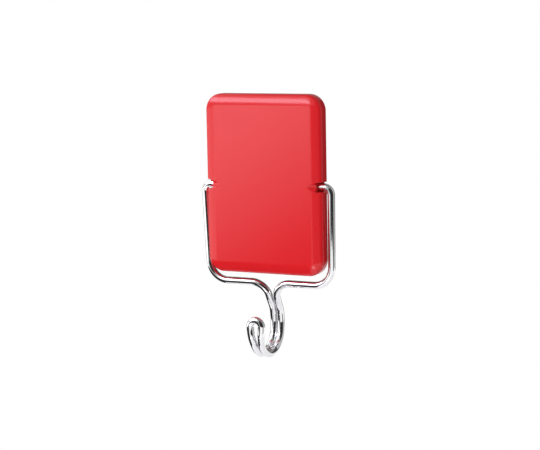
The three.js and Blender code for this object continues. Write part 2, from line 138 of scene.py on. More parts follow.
class BaseSizes(bpy.types.PropertyGroup):
    """Sizes of the base and of the sheet on it"""

    flange_inset: length("Flange inset", mm(1.9), "From the case's outline to the flange")
    flange: length("Flange", mm(1.6), "Thickness of the flange")
    seat_gap: length("Seat gap", mm(0.15), "Between the case's rear rim and the flange")
    rim_inset: length("Rim inset", mm(1.65), "From the case's outline to the rim")
    rim_wall: length("Rim wall", mm(1.1), "Thickness of the rim")
    rim_height: length("Rim height", mm(1), "How far the rim enters the case")
    rim_gap: length("Rim gap", mm(2.1), "From the notch's edge to the end of the rim's gap")
    rim_slope: length("Rim slope", mm(0.3), "Over which the rim rises beside its gap")
    block_inset: length("Block inset", mm(3.85), "From the case's outline to the raised block")
    fillet: length("Fillet", mm(0.4), "Rounding of the block's edges")
    side_wall: length("Side wall", mm(1.05), "Between a window and the block's side")
    end_wall: length("End wall", mm(5.8), "Between a window and the block's end")
    middle_bar: length("Middle bar", mm(14.7), "Between the two windows")
    hollow_wall: length("Hollow wall", mm(1.35), "Between a window and the hollow in the middle")
    hollow_floor: length("Hollow floor", mm(1.6), "Thickness of the block behind the hollow")
    hollow_to_wire: length("Hollow to wire", mm(1.5), "Between the hollow and the wire's ends")
    screw_inset: length("Screw inset", mm(4.9), "From the block's side to the screws")
    hole_radius: length("Hole radius", mm(1.25), "Of the screws' holes")
    sink_radius: length("Sink radius", mm(2.25), "Of the screws' conical seats at the back")
    sink_depth: length("Sink depth", mm(1.35), "Of the screws' conical seats")
    sheet: length("Sheet", mm(0.8), "Thickness of the rubber sheet")
    sheet_inset: length("Sheet inset", mm(0.8), "From the block's outline to the sheet")
    sheet_round: length("Sheet rounding", mm(0.15), "Of the sheet's edges")


class WireSizes(bpy.types.PropertyGroup):
    """Sizes of the bent wire"""

    diameter: length("Diameter", mm(3), "Of the wire")
    play: length("Play", mm(0.2), "Between the wire and its groove")
    end_chamfer: length("End chamfer", mm(0.4), "At the wire's two ends")
    arm_gap: length("Arm gap", mm(1.05), "Between the case and an arm")
    arm_taper: length("Arm taper", mm(1), "How far each arm draws in on its way down")
    end_length: length("End length", mm(9), "Of the inward ends past the notch")
    bar_gap: length("Bar gap", mm(2.85), "Between the case and the bars")
    pivot_bend: length("Pivot bend", mm(3.2), "Bend radius at the pivot")
    corner_bend: length("Corner bend", mm(8), "Bend radius at the lower corners")
    shank_bend: length("Shank bend", mm(7), "Bend radius into the shank")
    strand_gap: length("Strand gap", mm(0.2), "Between the two strands")
    neck_drop: length("Neck drop", mm(7.4), "From the bars to the neck")
    neck_back: length("Neck back", mm(2), "How far the neck goes towards the wall")
    neck_bend: length("Neck bend", mm(3.2), "Bend radius at the neck")
    shank_drop: length("Shank drop", mm(4.5), "From the neck to the shank's lower bend")
    shank_back: length("Shank back", mm(5.1), "How far the shank goes towards the wall")
    shank_lower_bend: length("Lower bend", mm(6), "Bend radius below the neck")
    hook_radius: length("Hook radius", mm(10.1), "Bend radius of the hook")
    hook_drop: length("Hook drop", mm(28.2), "From the bars to the bottom of the hook")
    tip_drop: length("Tip drop", mm(12.4), "From the bars to the top of the tip")
    tip_spacing: length("Tip spacing", mm(5), "Between the strands at the tip")
    tip_spread: length("Tip spread", mm(10), "Length over which the strands part")
    easing: length("Easing", mm(5), "How far the shank's bends ease in at either end")


class Finishes(bpy.types.PropertyGroup):
    """Colours of the finishes"""

    case_red: colour("Case", (0.78, 0.012, 0.018), "Glossy moulded plastic")
    base_black: colour("Base", (0.018, 0.019, 0.021), "Matte moulded plastic")
    rubber_grey: colour("Rubber", (0.03, 0.03, 0.032), "The sheet on the wall side")
    plating: colour("Plating", (0.93, 0.93, 0.94), "The wire's bright plating")
    steel: colour("Steel", (0.56, 0.57, 0.58), "Yoke plates and screws")
    ferrite: colour("Ferrite", (0.045, 0.045, 0.05), "The magnets")


class StageSettings(bpy.types.PropertyGroup):
    """The camera and the studio"""

    view_azimuth: angle("View azimuth", 26, "Of the camera round the object")
    view_elevation: angle("View elevation", 7.9, "Of the camera above the horizon")
    view_roll: angle("View roll", -1.07, "Tilt of the picture")
    distance: length("Distance", mm(680), "From the case to the camera")
    aim_right: FloatProperty(
        name="Aim right", description="How far right of the case's middle the picture's middle is",
        default=mm(0.445), unit="LENGTH",
    )
    aim_down: FloatProperty(
        name="Aim down", description="How far below the case's middle the picture's middle is",
        default=mm(16.84), unit="LENGTH",
    )
    lens: FloatProperty(
        name="Lens", description="Focal length", default=111.97, subtype="DISTANCE_CAMERA"
    )
    floor_drop: length("Floor drop", 0.3, "From the wall mount down to the floor")
    floor_reach: length("Floor reach", 0.65, "Radius of the floor")


class HookSettings(bpy.types.PropertyGroup):
    """All that can be changed"""

    case: PointerProperty(type=CaseSizes, name="Case", description="Sizes of the case")
    base: PointerProperty(type=BaseSizes, name="Base", description="Sizes of the base")
    wire: PointerProperty(type=WireSizes, name="Wire", description="Sizes of the wire")
    finish: PointerProperty(type=Finishes, name="Finishes", description="Colours")
    stage: PointerProperty(type=StageSettings, name="Stage", description="Camera and studio")


# Shapes


def eased(value, low, high):
    """A smooth step: 0 up to low, 1 from high on, and 3t^2 - 2t^3 between."""
    t = np.clip((value - low) / (high - low), 0, 1)
    return t * t * (3 - 2 * t)


def rings(width, height, radius, depth, side_lines, corner_steps=28):
    """Rounded rectangles, one for each entry: x = w/2 - r + r cos a and z = h/2 - r + r sin a in
    each corner, with points at the heights of side_lines on both upright sides."""
    w, h, r, y = (np.asarray(v, float)[:, None] for v in (width, height, radius, depth))
    a = np.linspace(0, pi / 2, corner_steps + 1)[None, :]
    x, z = w / 2 - r, h / 2 - r
    across = np.linspace(1, -1, 12)[None, 1:-1]
    up = side_lines[None, :] + 0 * w
    down = up[:, ::-1]
    edge = 0 * up + w / 2
    xs = [x + r * np.cos(a), x * across, -x - r * np.sin(a), -edge,
          -x - r * np.cos(a), -x * across, x + r * np.sin(a), edge]
    zs = [z + r * np.sin(a), 0 * x * across + h / 2, z + r * np.cos(a), down,
          -z - r * np.sin(a), 0 * x * across - h / 2, -z - r * np.cos(a), up]
    xs, zs = np.concatenate(xs, 1), np.concatenate(zs, 1)
    return np.stack([xs, 0 * xs + y, zs], 2)


def inset_rings(case, inset, depth, side_lines):
    """Rings at insets from the case's outline. Their corners keep a least radius."""
    radius = np.maximum(case.corner_radius - inset, mm(0.5))
    return rings(case.width - 2 * inset, case.height - 2 * inset, radius, depth, side_lines)


def closed_stack(points):
    """Faces that join rings of points, each to the next, and close the first and the last."""
    count, around = points.shape[:2]
    k, i = np.meshgrid(np.arange(count - 1), np.arange(around), indexing="ij")
    j = (i + 1) % around
    quads = np.stack([k * around + i, (k + 1) * around + i, (k + 1) * around + j, k * around + j], -1)
    last = np.arange(around)[::-1] + (count - 1) * around
    return quads.reshape(-1, 4).tolist() + [list(range(around)), last.tolist()]


def piece(name, points, faces, sharp=35):
    """A mesh object with its place in its mesh, smooth but for edges over an angle in degrees."""
    mesh = bpy.data.meshes.new(name)
    mesh.from_pydata(points.reshape(-1, 3).tolist(), [], faces)
    mesh.validate()
    mesh.shade_smooth()
    mesh.set_sharp_from_angle(angle=radians(sharp))
    obj = bpy.data.objects.new(name, mesh)
    bpy.context.scene.collection.objects.link(obj)
    return obj


def slab(name, low, high):
    """A box between two corners."""
    corners = np.array(np.meshgrid(*zip(low, high), indexing="ij")).reshape(3, -1).T
    faces = [(0, 1, 3, 2), (4, 6, 7, 5), (0, 4, 5, 1), (2, 3, 7, 6), (0, 2, 6, 4), (1, 5, 7, 3)]
    return piece(name, corners, faces)


def turned(name, radii, depths, x, z, sides=48):
    """A turned shape along Y: rings x = r cos a, z = r sin a at each depth."""
    a = np.linspace(0, 2 * pi, sides, endpoint=False)[None, :]
    r, y = np.asarray(radii, float)[:, None], np.asarray(depths, float)[:, None]
    points = np.stack([x + r * np.cos(a), y + 0 * a, z + r * np.sin(a)], 2)
    return piece(name, points, closed_stack(points))


def face_out(obj):
    """Turns the faces of a closed mesh outwards."""
    work = bmesh.new()
    work.from_mesh(obj.data)
    bmesh.ops.recalc_face_normals(work, faces=work.faces)
    work.to_mesh(obj.data)
    work.free()


def carve(obj, cutters, operation="DIFFERENCE", sharp=35):
    """Cuts the cutters from obj, or joins them to obj, and removes them."""
    group = bpy.data.collections.new("cutters")
    for cutter in cutters:
        face_out(cutter)
        group.objects.link(cutter)
    change = obj.modifiers.new("cut", "BOOLEAN")
    change.operation, change.operand_type, change.solver = operation, "COLLECTION", "EXACT"
    change.collection = group
    evaluated = obj.evaluated_get(bpy.context.evaluated_depsgraph_get())
    mesh = bpy.data.meshes.new_from_object(evaluated)
    obj.modifiers.clear()
    obj.data = mesh
    mesh.shade_smooth()
    mesh.set_sharp_from_angle(angle=radians(sharp))
    for cutter in cutters:
        bpy.data.objects.remove(cutter)
    bpy.data.collections.remove(group)


def bevel_fall(case, inset):
    """How far the bevel has fallen back at an inset from the case's outline: k u + (1 - k) u^2 of
    the drop, where u goes from 0 at the flat face to 1 at the side, rounded off round u = 0."""
    k, soft = case.bevel_straight, case.crease_softness
    u = 1 - inset / case.side_bevel
    line = np.where(u > soft, u, np.clip(u + soft, 0, None) ** 2 / (4 * soft))
    return case.bevel_drop * (k * line + (1 - k) * np.clip(u, 0, None) ** 2)


def side_heights(case):
    """Heights of the points on the upright sides: close together over the edges of the notch and
    of the block behind it, and further apart elsewhere."""
    half = case.notch_width / 2
    block = half + case.block_side
    reach = case.height / 2 - case.corner_radius
    in_notch, on_edge, on_block = mm(0.12), mm(0.04), mm(0.06)
    near = np.concatenate([
        np.arange(0, half - mm(0.25), in_notch),
        np.arange(half - mm(0.24), half + mm(0.3), on_edge),
        half + mm(1) * np.array([0.4, 0.7, 1.2, 1.8]),
        block + on_block * np.arange(-2, 3),
        np.linspace(block + mm(1), reach - mm(2), 9),
    ])
    return np.unique(np.concatenate([-near, near])) + PIVOT[2]


def case_section(case, front, back):
    """The outside from the middle of the face to the rear rim: insets and depths. The shoulder
    between bevel and side is an arc, inset r (1 - sin a) and depth c - r cos a."""
    bevel, r = case.side_bevel, case.shoulder_radius
    steep = atan(case.bevel_drop / bevel * (2 - case.bevel_straight))
    meet = r * (1 - sin(steep))
    flat = bevel + mm(1) * np.array([4, 3, 2.1, 1.8, 1.6, *np.arange(1.45, 0.05, -0.15)])
    sloped = np.linspace(bevel, meet, 34)[:-1]
    sloped = np.unique(np.append(sloped, case.notch_reach))[::-1]
    inset = np.concatenate([flat, sloped])
    depth = front + bevel_fall(case, inset)
    a = np.linspace(steep, pi / 2, 9)
    centre = front + float(bevel_fall(case, np.array([meet]))[0]) + r * cos(steep)
    fillet = case.rim_fillet
    side_y = np.linspace(centre, back - fillet, 14)[1:-1]
    turn = np.linspace(0, pi / 2, 6)
    inset = np.concatenate([inset, r * (1 - np.sin(a)), 0 * side_y, fillet * (1 - np.cos(turn))])
    depth = np.concatenate([depth, centre - r * np.cos(a), side_y, back - fillet * (1 - np.sin(turn))])
    return inset, depth


def case_rings(case, front, back):
    """The case from the middle of its face over the bevel, the side and the rear rim to the
    ceiling inside, and how many of its rings are outside."""
    outer, outer_y = case_section(case, front, back)
    fillet, wall, chamfer, least_radius = case.rim_fillet, case.wall, case.inner_chamfer, mm(0.25)
    turn = np.linspace(0, pi / 2, 6)
    ceiling = front + wall
    inner = np.concatenate([wall - fillet * (1 - np.sin(turn)), [wall, wall + chamfer]])
    inner_y = np.concatenate([back - fillet * (1 - np.cos(turn)), [ceiling + chamfer, ceiling]])
    beyond = np.clip(outer - case.side_bevel, 0, None)
    on_bevel = np.minimum(outer, case.side_bevel) / case.side_bevel
    radius = case.corner_radius + (case.face_radius - case.corner_radius) * on_bevel - beyond
    width = np.concatenate([case.width - 2 * outer, case.width - 2 * inner])
    height = np.concatenate([
        case.height - 2 * (case.end_bevel * on_bevel + beyond), case.height - 2 * inner,
    ])
    radius = np.concatenate([np.maximum(radius, least_radius), case.corner_radius - inner])
    points = rings(width, height, radius, np.concatenate([outer_y, inner_y]), side_heights(case))
    return points, len(outer)


def cut_notches(points, outside, case, front, back):
    """Sinks the scoops and the notches into the sides. The scoop is a round-bottomed ramp of
    depth d(x) - (r - sqrt(r^2 - t^2)) / cos(slope) at t from its middle. Past the notch's wall the
    section is drawn in to that wall over a narrow step in t."""
    t = points[..., 2] - PIVOT[2]
    x = np.abs(points[..., 0])
    side = np.sign(points[..., 0])
    half, notch = case.width / 2, case.notch_width / 2
    wall_x = half - case.notch_reach
    margin, notch_edge, block_edge, soft = mm(0.1), mm(0.18), mm(0.12), mm(0.12)
    radius = notch - margin
    slope = atan2(case.scoop_depth, case.scoop_length)
    rise = radius - np.sqrt(np.clip(radius**2 - t**2, 0, None))
    ramp = (np.minimum(x, wall_x) - (wall_x - case.scoop_length)) * tan(slope) - rise / cos(slope)
    near = (np.abs(t) < radius) & (x > wall_x - case.scoop_length - margin)
    over = front + np.maximum(ramp, 0) - points[..., 1]
    raised = np.where(over > soft, over, np.where(over > -soft, (over + soft) ** 2 / (4 * soft), 0))
    entry = int(np.argmin(np.abs(points[:outside, :, 0].max(1) - wall_x)))
    outer = outside - 1
    level = np.arange(len(points))[:, None] + 0 * t
    y = points[..., 1].copy()
    upper = near & (level <= entry) & (ramp > -soft)
    y[upper] += raised[upper]
    # the section drawn in past the notch's wall
    within = 1 - eased(np.abs(t), notch - notch_edge, notch + notch_edge)
    past = (level > entry) & (level <= outer) & (within > 0)
    way = np.clip((level - entry) / (outer - entry), 0, 1)
    start = y[entry][None, :] + 0 * way
    y = np.where(past, y + within * (start + (back - start) * way - y), y)
    new_x = np.where(past, x + within * (wall_x - x), x)
    # the block of material behind the notch, in the hollow
    block = notch + case.block_side
    behind = 1 - eased(np.abs(t), block - block_edge, block + block_edge)
    inner = (level > outer) & (x > half / 2) & (behind > 0)
    new_x = np.where(inner, x + behind * (wall_x - case.block - x), new_x)
    sides = (np.abs(t) < case.height / 2 - case.corner_radius) & (x > half / 2)
    points[..., 0] = np.where(sides, side * new_x, points[..., 0])
    points[..., 1] = np.where(sides, y, points[..., 1])


def pivot_grooves(case, wire, back):
    """Grooves along X with a round front, y = r sin a and z = r cos a about the pivot, and an open
    back, for the two inward ends of the wire."""
    radius = wire.diameter / 2 + wire.play
    a = np.linspace(pi, 2 * pi, 33)
    y = np.append(PIVOT[1] + radius * np.sin(a), [back + PAST] * 2)
    z = PIVOT[2] + np.append(radius * np.cos(a), [radius, -radius])
    inner = case.width / 2 - case.notch_reach - wire.end_length - wire.play
    grooves = []
    for side in (1, -1):
        x = np.sort([side * inner, side * (case.width / 2 + PAST)])[:, None] + 0 * y
        points = np.stack([x, y + 0 * x, z + 0 * x], 2)
        grooves.append(piece("groove", points, closed_stack(points)))
    return grooves


def screw_places(case, base):
    """The middles of the four screws."""
    x = case.width / 2 - base.block_inset - base.screw_inset
    z = case.height / 2 - base.block_inset - base.end_wall / 2
    return [(side * x, end * z) for side in (-1, 1) for end in (-1, 1)]


def window(case, base):
    """Half the width of the magnets' windows, and the heights of the upper one's two edges."""
    half = case.width / 2 - base.block_inset - base.side_wall
    return half, base.middle_bar / 2, case.height / 2 - base.block_inset - base.end_wall


def rib_frames(case, base, front, back):
    """The frame of ribs round each pair of magnets, from the middle of the case's wall."""
    half, low, high = window(case, base)
    start, end = front + case.wall / 2, back - case.rib_stop
    frames = []
    for bottom, top in ((low, high), (-high, -low)):
        outer, inner = (
            slab("ribs", (-half - grow, start - past, bottom - grow),
                 (half + grow, end + past, top + grow))
            for grow, past in ((case.rib + case.rib_gap, 0), (case.rib_gap, PAST))
        )
        carve(outer, [inner])
        frames.append(outer)
    return frames


def cradles(case, front):
    """The blocks that carry the inward ends of the wire."""
    outer = case.width / 2 - case.notch_reach - case.cradle_inset
    half = case.notch_width / 2 + case.cradle_side
    low, high = PIVOT[2] - half, PIVOT[2] + half
    start = front + case.wall / 2
    return [
        slab("cradle", (side * outer - way, start, low), (side * outer, PIVOT[1], high))
        for side, way in ((1, case.cradle), (-1, -case.cradle))
    ]


def base_rings(case, base, front, back):
    """The base from the middle of its front over the rim, the flange and the block to the middle
    of its back. Its section is a line of insets and depths with small round bends. The rim is
    levelled beside the blocks behind the notches."""
    middle = base.block_inset + mm(3)
    inner_rim, rim_front = base.rim_inset + base.rim_wall, front - base.rim_height
    shoulder, flange_back = front + base.flange / 2, front + base.flange
    corners = np.array([
        (middle, front, 0), (inner_rim, front, 0), (inner_rim, rim_front, 0),
        (base.rim_inset, rim_front, 0), (base.rim_inset, shoulder, 0),
        (base.flange_inset, shoulder, 0), (base.flange_inset, flange_back, 0),
        (base.block_inset, flange_back, 0), (base.block_inset, back, 0), (middle, back, 0),
    ])
    bends = [*(mm(1) * np.array([0.1, 0.12, 0.12, 0.06, 0.06, 0.2])), base.fillet, base.fillet]
    inset, depth, _ = bent_path(corners, bends, radians(18), mm(1.5)).T
    points = inset_rings(case, inset, depth, side_heights(case))
    gap = case.notch_width / 2 + base.rim_gap
    level = 1 - eased(np.abs(points[..., 2] - PIVOT[2]), gap, gap + base.rim_slope)
    level *= np.abs(points[..., 0]) > case.width / 4
    points[..., 1] += level * np.maximum(front - points[..., 1], 0)
    return points


def sheet_rings(case, base):
    """The rubber sheet from the middle of its front over its rounded edges, e (1 - sin a) and
    e (1 - cos a), to the middle of its back at the wall."""
    e, middle = base.sheet_round, mm(3)
    turn = np.linspace(0, pi / 2, 5)
    rise, run = e * (1 - np.cos(turn)), e * (1 - np.sin(turn))
    inset = base.block_inset + base.sheet_inset + np.concatenate([[middle], run, rise, [middle]])
    depth = np.concatenate([[-base.sheet], rise - base.sheet, -run, [0]])
    return inset_rings(case, inset, depth, np.linspace(-mm(20), mm(20), 5))


def base_cutters(settings, front, back):
    """What is cut from the base: two windows, a hollow and four holes with conical seats."""
    case, base, wire = settings.case, settings.base, settings.wire
    half, low, high = window(case, base)
    cutters = [
        slab("window", (-half, front - PAST, bottom), (half, back + PAST, top))
        for bottom, top in ((low, high), (-high, -low))
    ]
    x = case.width / 2 - case.notch_reach - wire.end_length - base.hollow_to_wire
    z = low - base.hollow_wall
    cutters.append(slab("hollow", (-x, front - PAST, -z), (x, back - base.hollow_floor, z)))
    widening = (base.sink_radius - base.hole_radius) * PAST / base.sink_depth
    radii = [base.hole_radius, base.hole_radius, base.sink_radius + widening]
    depths = [front - PAST, back - base.sink_depth, back + PAST]
    cutters += [turned("hole", radii, depths, *place) for place in screw_places(case, base)]
    return cutters


def bent_path(corners, bends, step, spacing):
    """Straight runs and round bends through corner points. A bend of radius r that turns by q
    starts r tan(q/2) before its corner, and its points are c + r (cos, sin) about its centre c."""
    runs, start = [], corners[0]
    for before, corner, after, bend in zip(corners, corners[1:], corners[2:], bends):
        to_before = (before - corner) / np.linalg.norm(before - corner)
        to_after = (after - corner) / np.linalg.norm(after - corner)
        turn = pi - np.arccos(np.clip(to_before @ to_after, -1, 1))
        inward = (to_before + to_after) / np.linalg.norm(to_before + to_after)
        centre = corner + inward * bend / cos(turn / 2)
        first = corner + to_before * bend * tan(turn / 2)
        out = (first - centre) / bend
        q = np.linspace(0, turn, max(2, int(np.ceil(turn / step)) + 1))[:, None]
        arc = centre + bend * (np.cos(q) * out - np.sin(q) * to_before)
        count = max(1, int(np.ceil(np.linalg.norm(first - start) / spacing)))
        way = np.linspace(0, 1, count, endpoint=False)[:, None]
        runs += [start + way * (first - start), arc[:-1]]
        start = arc[-1]
    count = max(1, int(np.ceil(np.linalg.norm(corners[-1] - start) / spacing)))
    way = np.linspace(0, 1, count + 1)[:, None]
    runs.append(start + way * (corners[-1] - start))
    return np.concatenate(runs)


def smoothed(path, reach):
    """The mean of the path over a window of a length along it, below the bars: evenly spaced
    points, summed with the weights 1 + cos(pi s / reach) and set back at the old distances."""
    along = np.append(0, np.cumsum(np.linalg.norm(np.diff(path, axis=0), axis=1)))
    step = mm(0.1)
    even = np.arange(0, along[-1], step)
    s = np.arange(-reach, reach + step / 2, step)
    weights = 1 + np.cos(pi * s / reach)
    weights /= weights.sum()
    mean = []
    for line in path.T:
        padded = np.pad(np.interp(even, along, line), len(s) // 2, "edge")
        mean.append(np.interp(along, even, np.convolve(padded, weights, "valid")))
    return np.stack(mean, 1)


def wire_path(case, wire):
    """The wire's middle line about its pivot, from the right-hand end over the tip to the left."""
    radius = wire.diameter / 2
    beside = (wire.diameter + wire.strand_gap) / 2
    end = case.width / 2 - case.notch_reach - wire.end_length
    arm = case.width / 2 + wire.arm_gap + radius
    bar = -case.height / 2 - PIVOT[2] - wire.bar_gap - radius
    neck, bottom = bar - wire.neck_drop, bar - wire.hook_drop
    tip = wire.shank_back - 2 * wire.hook_radius
    corners = np.array([
        (end, 0, 0), (arm, 0, 0), (arm - wire.arm_taper, 0, bar), (beside, 0, bar),
        (beside, wire.neck_back, neck), (beside, wire.shank_back, neck - wire.shank_drop),
        (beside, wire.shank_back, bottom), (beside, tip, bottom),
        (beside, tip, bar - wire.tip_drop - wire.tip_spacing / 2),
    ])
    bends = [wire.pivot_bend, wire.corner_bend, wire.shank_bend, wire.neck_bend,
             wire.shank_lower_bend, wire.hook_radius, wire.hook_radius]
    half = bent_path(corners, bends, radians(2.5), mm(0.4))
    to_tip = np.append(np.cumsum(np.linalg.norm(np.diff(half, axis=0), axis=1)[::-1])[::-1], 0)
    parted = wire.tip_spacing / 2 + (beside - wire.tip_spacing / 2) * eased(to_tip, 0, wire.tip_spread)
    half[:, 0] = np.where(to_tip < wire.tip_spread, parted, half[:, 0])
    a = np.linspace(0, pi, 40)[1:-1]
    loop = half[-1] + wire.tip_spacing / 2 * np.stack([np.cos(a) - 1, 0 * a, np.sin(a)], 1)
    path = np.concatenate([half, loop, half[::-1] * [-1, 1, 1]])
    # the shank's bends ease in, from a little below the bars to a little above the bottom
    below_bar, above_bottom, blend = mm(4), mm(5), mm(4)
    start, end = bar - below_bar, bottom + above_bottom
    share = eased(-path[:, 2], -start, blend - start) * eased(path[:, 2], end, end + blend)
    share = (share * (path[:, 1] > 0))[:, None]
    return path + share * (smoothed(path, wire.easing) - path)


def lean(path):
    """The angle at which the wire hangs, with its centre of mass straight below the pivot."""
    span = np.linalg.norm(np.diff(path, axis=0), axis=1)
    centre = ((path[1:] + path[:-1]) / 2 * span[:, None]).sum(0) / span.sum()
    return atan(centre[1] / centre[2])


def wire_rings(path, wire, sides=40):
    """Circles r (n cos a + b sin a) across the path. n is a guide direction made square to the
    path: Y beside and below the case and round the tip, and X along the shank and the hook."""
    span = np.linalg.norm(np.diff(path, axis=0), axis=1)[:, None]
    ways = np.diff(path, axis=0) / span
    tangent = np.concatenate([ways[:1], ways[1:] + ways[:-1], ways[-1:]])
    tangent /= np.linalg.norm(tangent, axis=1)[:, None]
    below_bar, blend, tip_blend, round_tip = mm(6), mm(4), mm(3.4), mm(1)
    bar = path[:, 2].min() + wire.hook_drop
    along = 1 - eased(path[:, 2], bar - below_bar - blend, bar - below_bar)
    tip = wire.shank_back - 2 * wire.hook_radius
    top = bar - wire.tip_drop - wire.tip_spacing / 2
    at_tip = eased(path[:, 2], top - tip_blend, top) * (path[:, 1] < tip + round_tip)
    along = (along * (1 - at_tip))[:, None]
    guide = along * [1.0, 0.0, 0.0] + (1 - along) * [0.0, 1.0, 0.0]
    normal = guide - (guide * tangent).sum(1)[:, None] * tangent
    normal /= np.linalg.norm(normal, axis=1)[:, None]
    across = np.cross(tangent, normal)
    radius = np.full((len(path), 1, 1), wire.diameter / 2)
    radius[[0, -1]] -= wire.end_chamfer
    a = np.linspace(0, 2 * pi, sides, endpoint=False)[None, :, None]
    circles = path[:, None] + radius * (np.cos(a) * normal[:, None] + np.sin(a) * across[:, None])
    return circles, np.append(0, np.cumsum(span))


def ring_uv(obj, along, sides):
    """A UV map on a tube: U is the distance along it, in units near the wire's girth, and V the
    turn round it, from 0 to 1."""
    mesh, units_per_metre = obj.data, 100
    uv = mesh.uv_layers.new(name="along_wire")
    corner = np.zeros(len(mesh.loops), int)
    mesh.loops.foreach_get("vertex_index", corner)
    ring, place = corner // sides, corner % sides
    start = np.zeros(len(mesh.polygons), int)
    total = np.zeros(len(mesh.polygons), int)
    mesh.polygons.foreach_get("loop_start", start)
    mesh.polygons.foreach_get("loop_total", total)
    of_face = np.repeat(np.arange(len(start)), total)
    widest = np.maximum.reduceat(place, start)
    wraps = (widest[of_face] == sides - 1) & (place == 0) & (total[of_face] == 4)
    values = np.stack([along[ring] * units_per_metre, (place + sides * wraps) / sides], 1)
    uv.data.foreach_set("uv", values.astype(np.float32).ravel())


# Materials


def node_group(name, inputs, outputs):
    """A shader node group with inputs (name, default) and named outputs, all of them numbers."""
    group = bpy.data.node_groups.new(name, "ShaderNodeTree")
    for label, default in inputs:
        socket = group.interface.new_socket(label, in_out="INPUT", socket_type="NodeSocketFloat")
        socket.default_value = default
    for label in outputs:
        group.interface.new_socket(label, in_out="OUTPUT", socket_type="NodeSocketFloat")
    start = group.nodes.new("NodeGroupInput")
    end = group.nodes.new("NodeGroupOutput")
    return group, start, end


def math_node(tree, operation, a, b, clamp=False):
    """A math node of two sockets or numbers."""
    node = tree.nodes.new("ShaderNodeMath")
    node.operation, node.use_clamp = operation, clamp
    for socket, value in zip(node.inputs, (a, b)):
        if isinstance(value, (int, float)):
            socket.default_value = value
        else:
            tree.links.new(value, socket)
    return node.outputs[0]


def vector_math(tree, operation, vector, constant=(0, 0, 0)):
    """The outputs of a vector math node of a socket and a constant."""
    node = tree.nodes.new("ShaderNodeVectorMath")
    node.operation = operation
    node.inputs[1].default_value = constant
    tree.links.new(vector, node.inputs[0])
    return node.outputs


def noise(tree, vector, scale, detail, roughness=0.5):
    """A noise texture's value, at a scale that comes from a socket."""
    node = tree.nodes.new("ShaderNodeTexNoise")
    node.inputs["Detail"].default_value = detail
    node.inputs["Roughness"].default_value = roughness
    tree.links.new(vector, node.inputs["Vector"])
    tree.links.new(scale, node.inputs["Scale"])
    return node.outputs["Fac"]


def object_place(tree):
    """The Object coordinates."""
    return tree.nodes.new("ShaderNodeTexCoord").outputs["Object"]


def moulding_group():
    """Moulded plastic: Height of its fine grain, Cloud of a slow change in tone, and Scuff, fine
    hairlines that run slantwise."""
    group, start, end = node_group(
        "moulded_surface",
        [("Grain Scale", 2500), ("Cloud Scale", 60), ("Scuff Scale", 260)],
        ["Height", "Cloud", "Scuff"],
    )
    place = object_place(group)
    fine = noise(group, place, start.outputs["Grain Scale"], 3.0)
    cloud = noise(group, place, start.outputs["Cloud Scale"], 2.0)
    slant = group.nodes.new("ShaderNodeMapping")
    slant.inputs["Rotation"].default_value = (0.3, 0.6, 0.2)
    slant.inputs["Scale"].default_value = (1, 1, 14)
    group.links.new(place, slant.inputs["Vector"])
    lines = noise(group, slant.outputs["Vector"], start.outputs["Scuff Scale"], 6.0, 0.65)
    scuff = math_node(group, "MULTIPLY", math_node(group, "SUBTRACT", lines, 0.62, True), 4.0, True)
    for label, value in (("Height", fine), ("Cloud", cloud), ("Scuff", scuff)):
        group.links.new(value, end.inputs[label])
    return group


def drawn_group():
    """Drawn wire and rolled plate: Lines that run along the metal and Fleck, small pits."""
    group, start, end = node_group(
        "drawn_metal", [("Line Scale", 30), ("Fleck Scale", 900)], ["Lines", "Fleck"]
    )
    coordinates = group.nodes.new("ShaderNodeTexCoord")
    stretch = group.nodes.new("ShaderNodeMapping")
    stretch.inputs["Scale"].default_value = (0.6, 1, 1)
    group.links.new(coordinates.outputs["UV"], stretch.inputs["Vector"])
    lines = noise(group, stretch.outputs["Vector"], start.outputs["Line Scale"], 5.0, 0.6)
    fleck = noise(group, coordinates.outputs["Object"], start.outputs["Fleck Scale"], 3.0)
    pits = math_node(group, "MULTIPLY", math_node(group, "SUBTRACT", fleck, 0.6, True), 4.0, True)
    group.links.new(lines, end.inputs["Lines"])
    group.links.new(pits, end.inputs["Fleck"])
    return group


def grain_group():
    """Cast and pressed stuff: Height and Tone of coarse and fine grains."""
    group, start, end = node_group("pressed_grain", [("Grain Scale", 1500)], ["Height", "Tone"])
    place = object_place(group)
    cells = group.nodes.new("ShaderNodeTexVoronoi")
    group.links.new(place, cells.inputs["Vector"])
    group.links.new(start.outputs["Grain Scale"], cells.inputs["Scale"])
    tone = noise(group, place, start.outputs["Grain Scale"], 5.0, 0.6)
    group.links.new(cells.outputs["Distance"], end.inputs["Height"])
    group.links.new(tone, end.inputs["Tone"])
    return group


GROUPS = {
    "moulded_surface": moulding_group, "drawn_metal": drawn_group, "pressed_grain": grain_group,
}


def placed(tree, name, **values):
    """The outputs of a shared node group in a material, with its own values. The group is made
    when a material first asks for it."""
    node = tree.nodes.new("ShaderNodeGroup")
    node.node_tree = bpy.data.node_groups.get(name) or GROUPS[name]()
    for label, value in values.items():
        node.inputs[label.replace("_", " ")].default_value = value
    return node.outputs


def ranged(tree, value, low, high, start=0.0, end=1.0, smooth=False):
    """A value between start and end spread between low and high, evenly or with soft ends."""
    node = tree.nodes.new("ShaderNodeMapRange")
    node.interpolation_type = "SMOOTHSTEP" if smooth else "LINEAR"
    numbers = {"From Min": start, "From Max": end, "To Min": low, "To Max": high}
    for label, number in numbers.items():
        node.inputs[label].default_value = number
    tree.links.new(value, node.inputs["Value"])
    return node.outputs["Result"]


def mixed(tree, factor, first, second):
    """A colour between two colours."""
    node = tree.nodes.new("ShaderNodeMix")
    node.data_type = "RGBA"
    tree.links.new(factor, node.inputs["Factor"])
    node.inputs["A"].default_value = (*first, 1)
    node.inputs["B"].default_value = (*second, 1)
    return node.outputs["Result"]


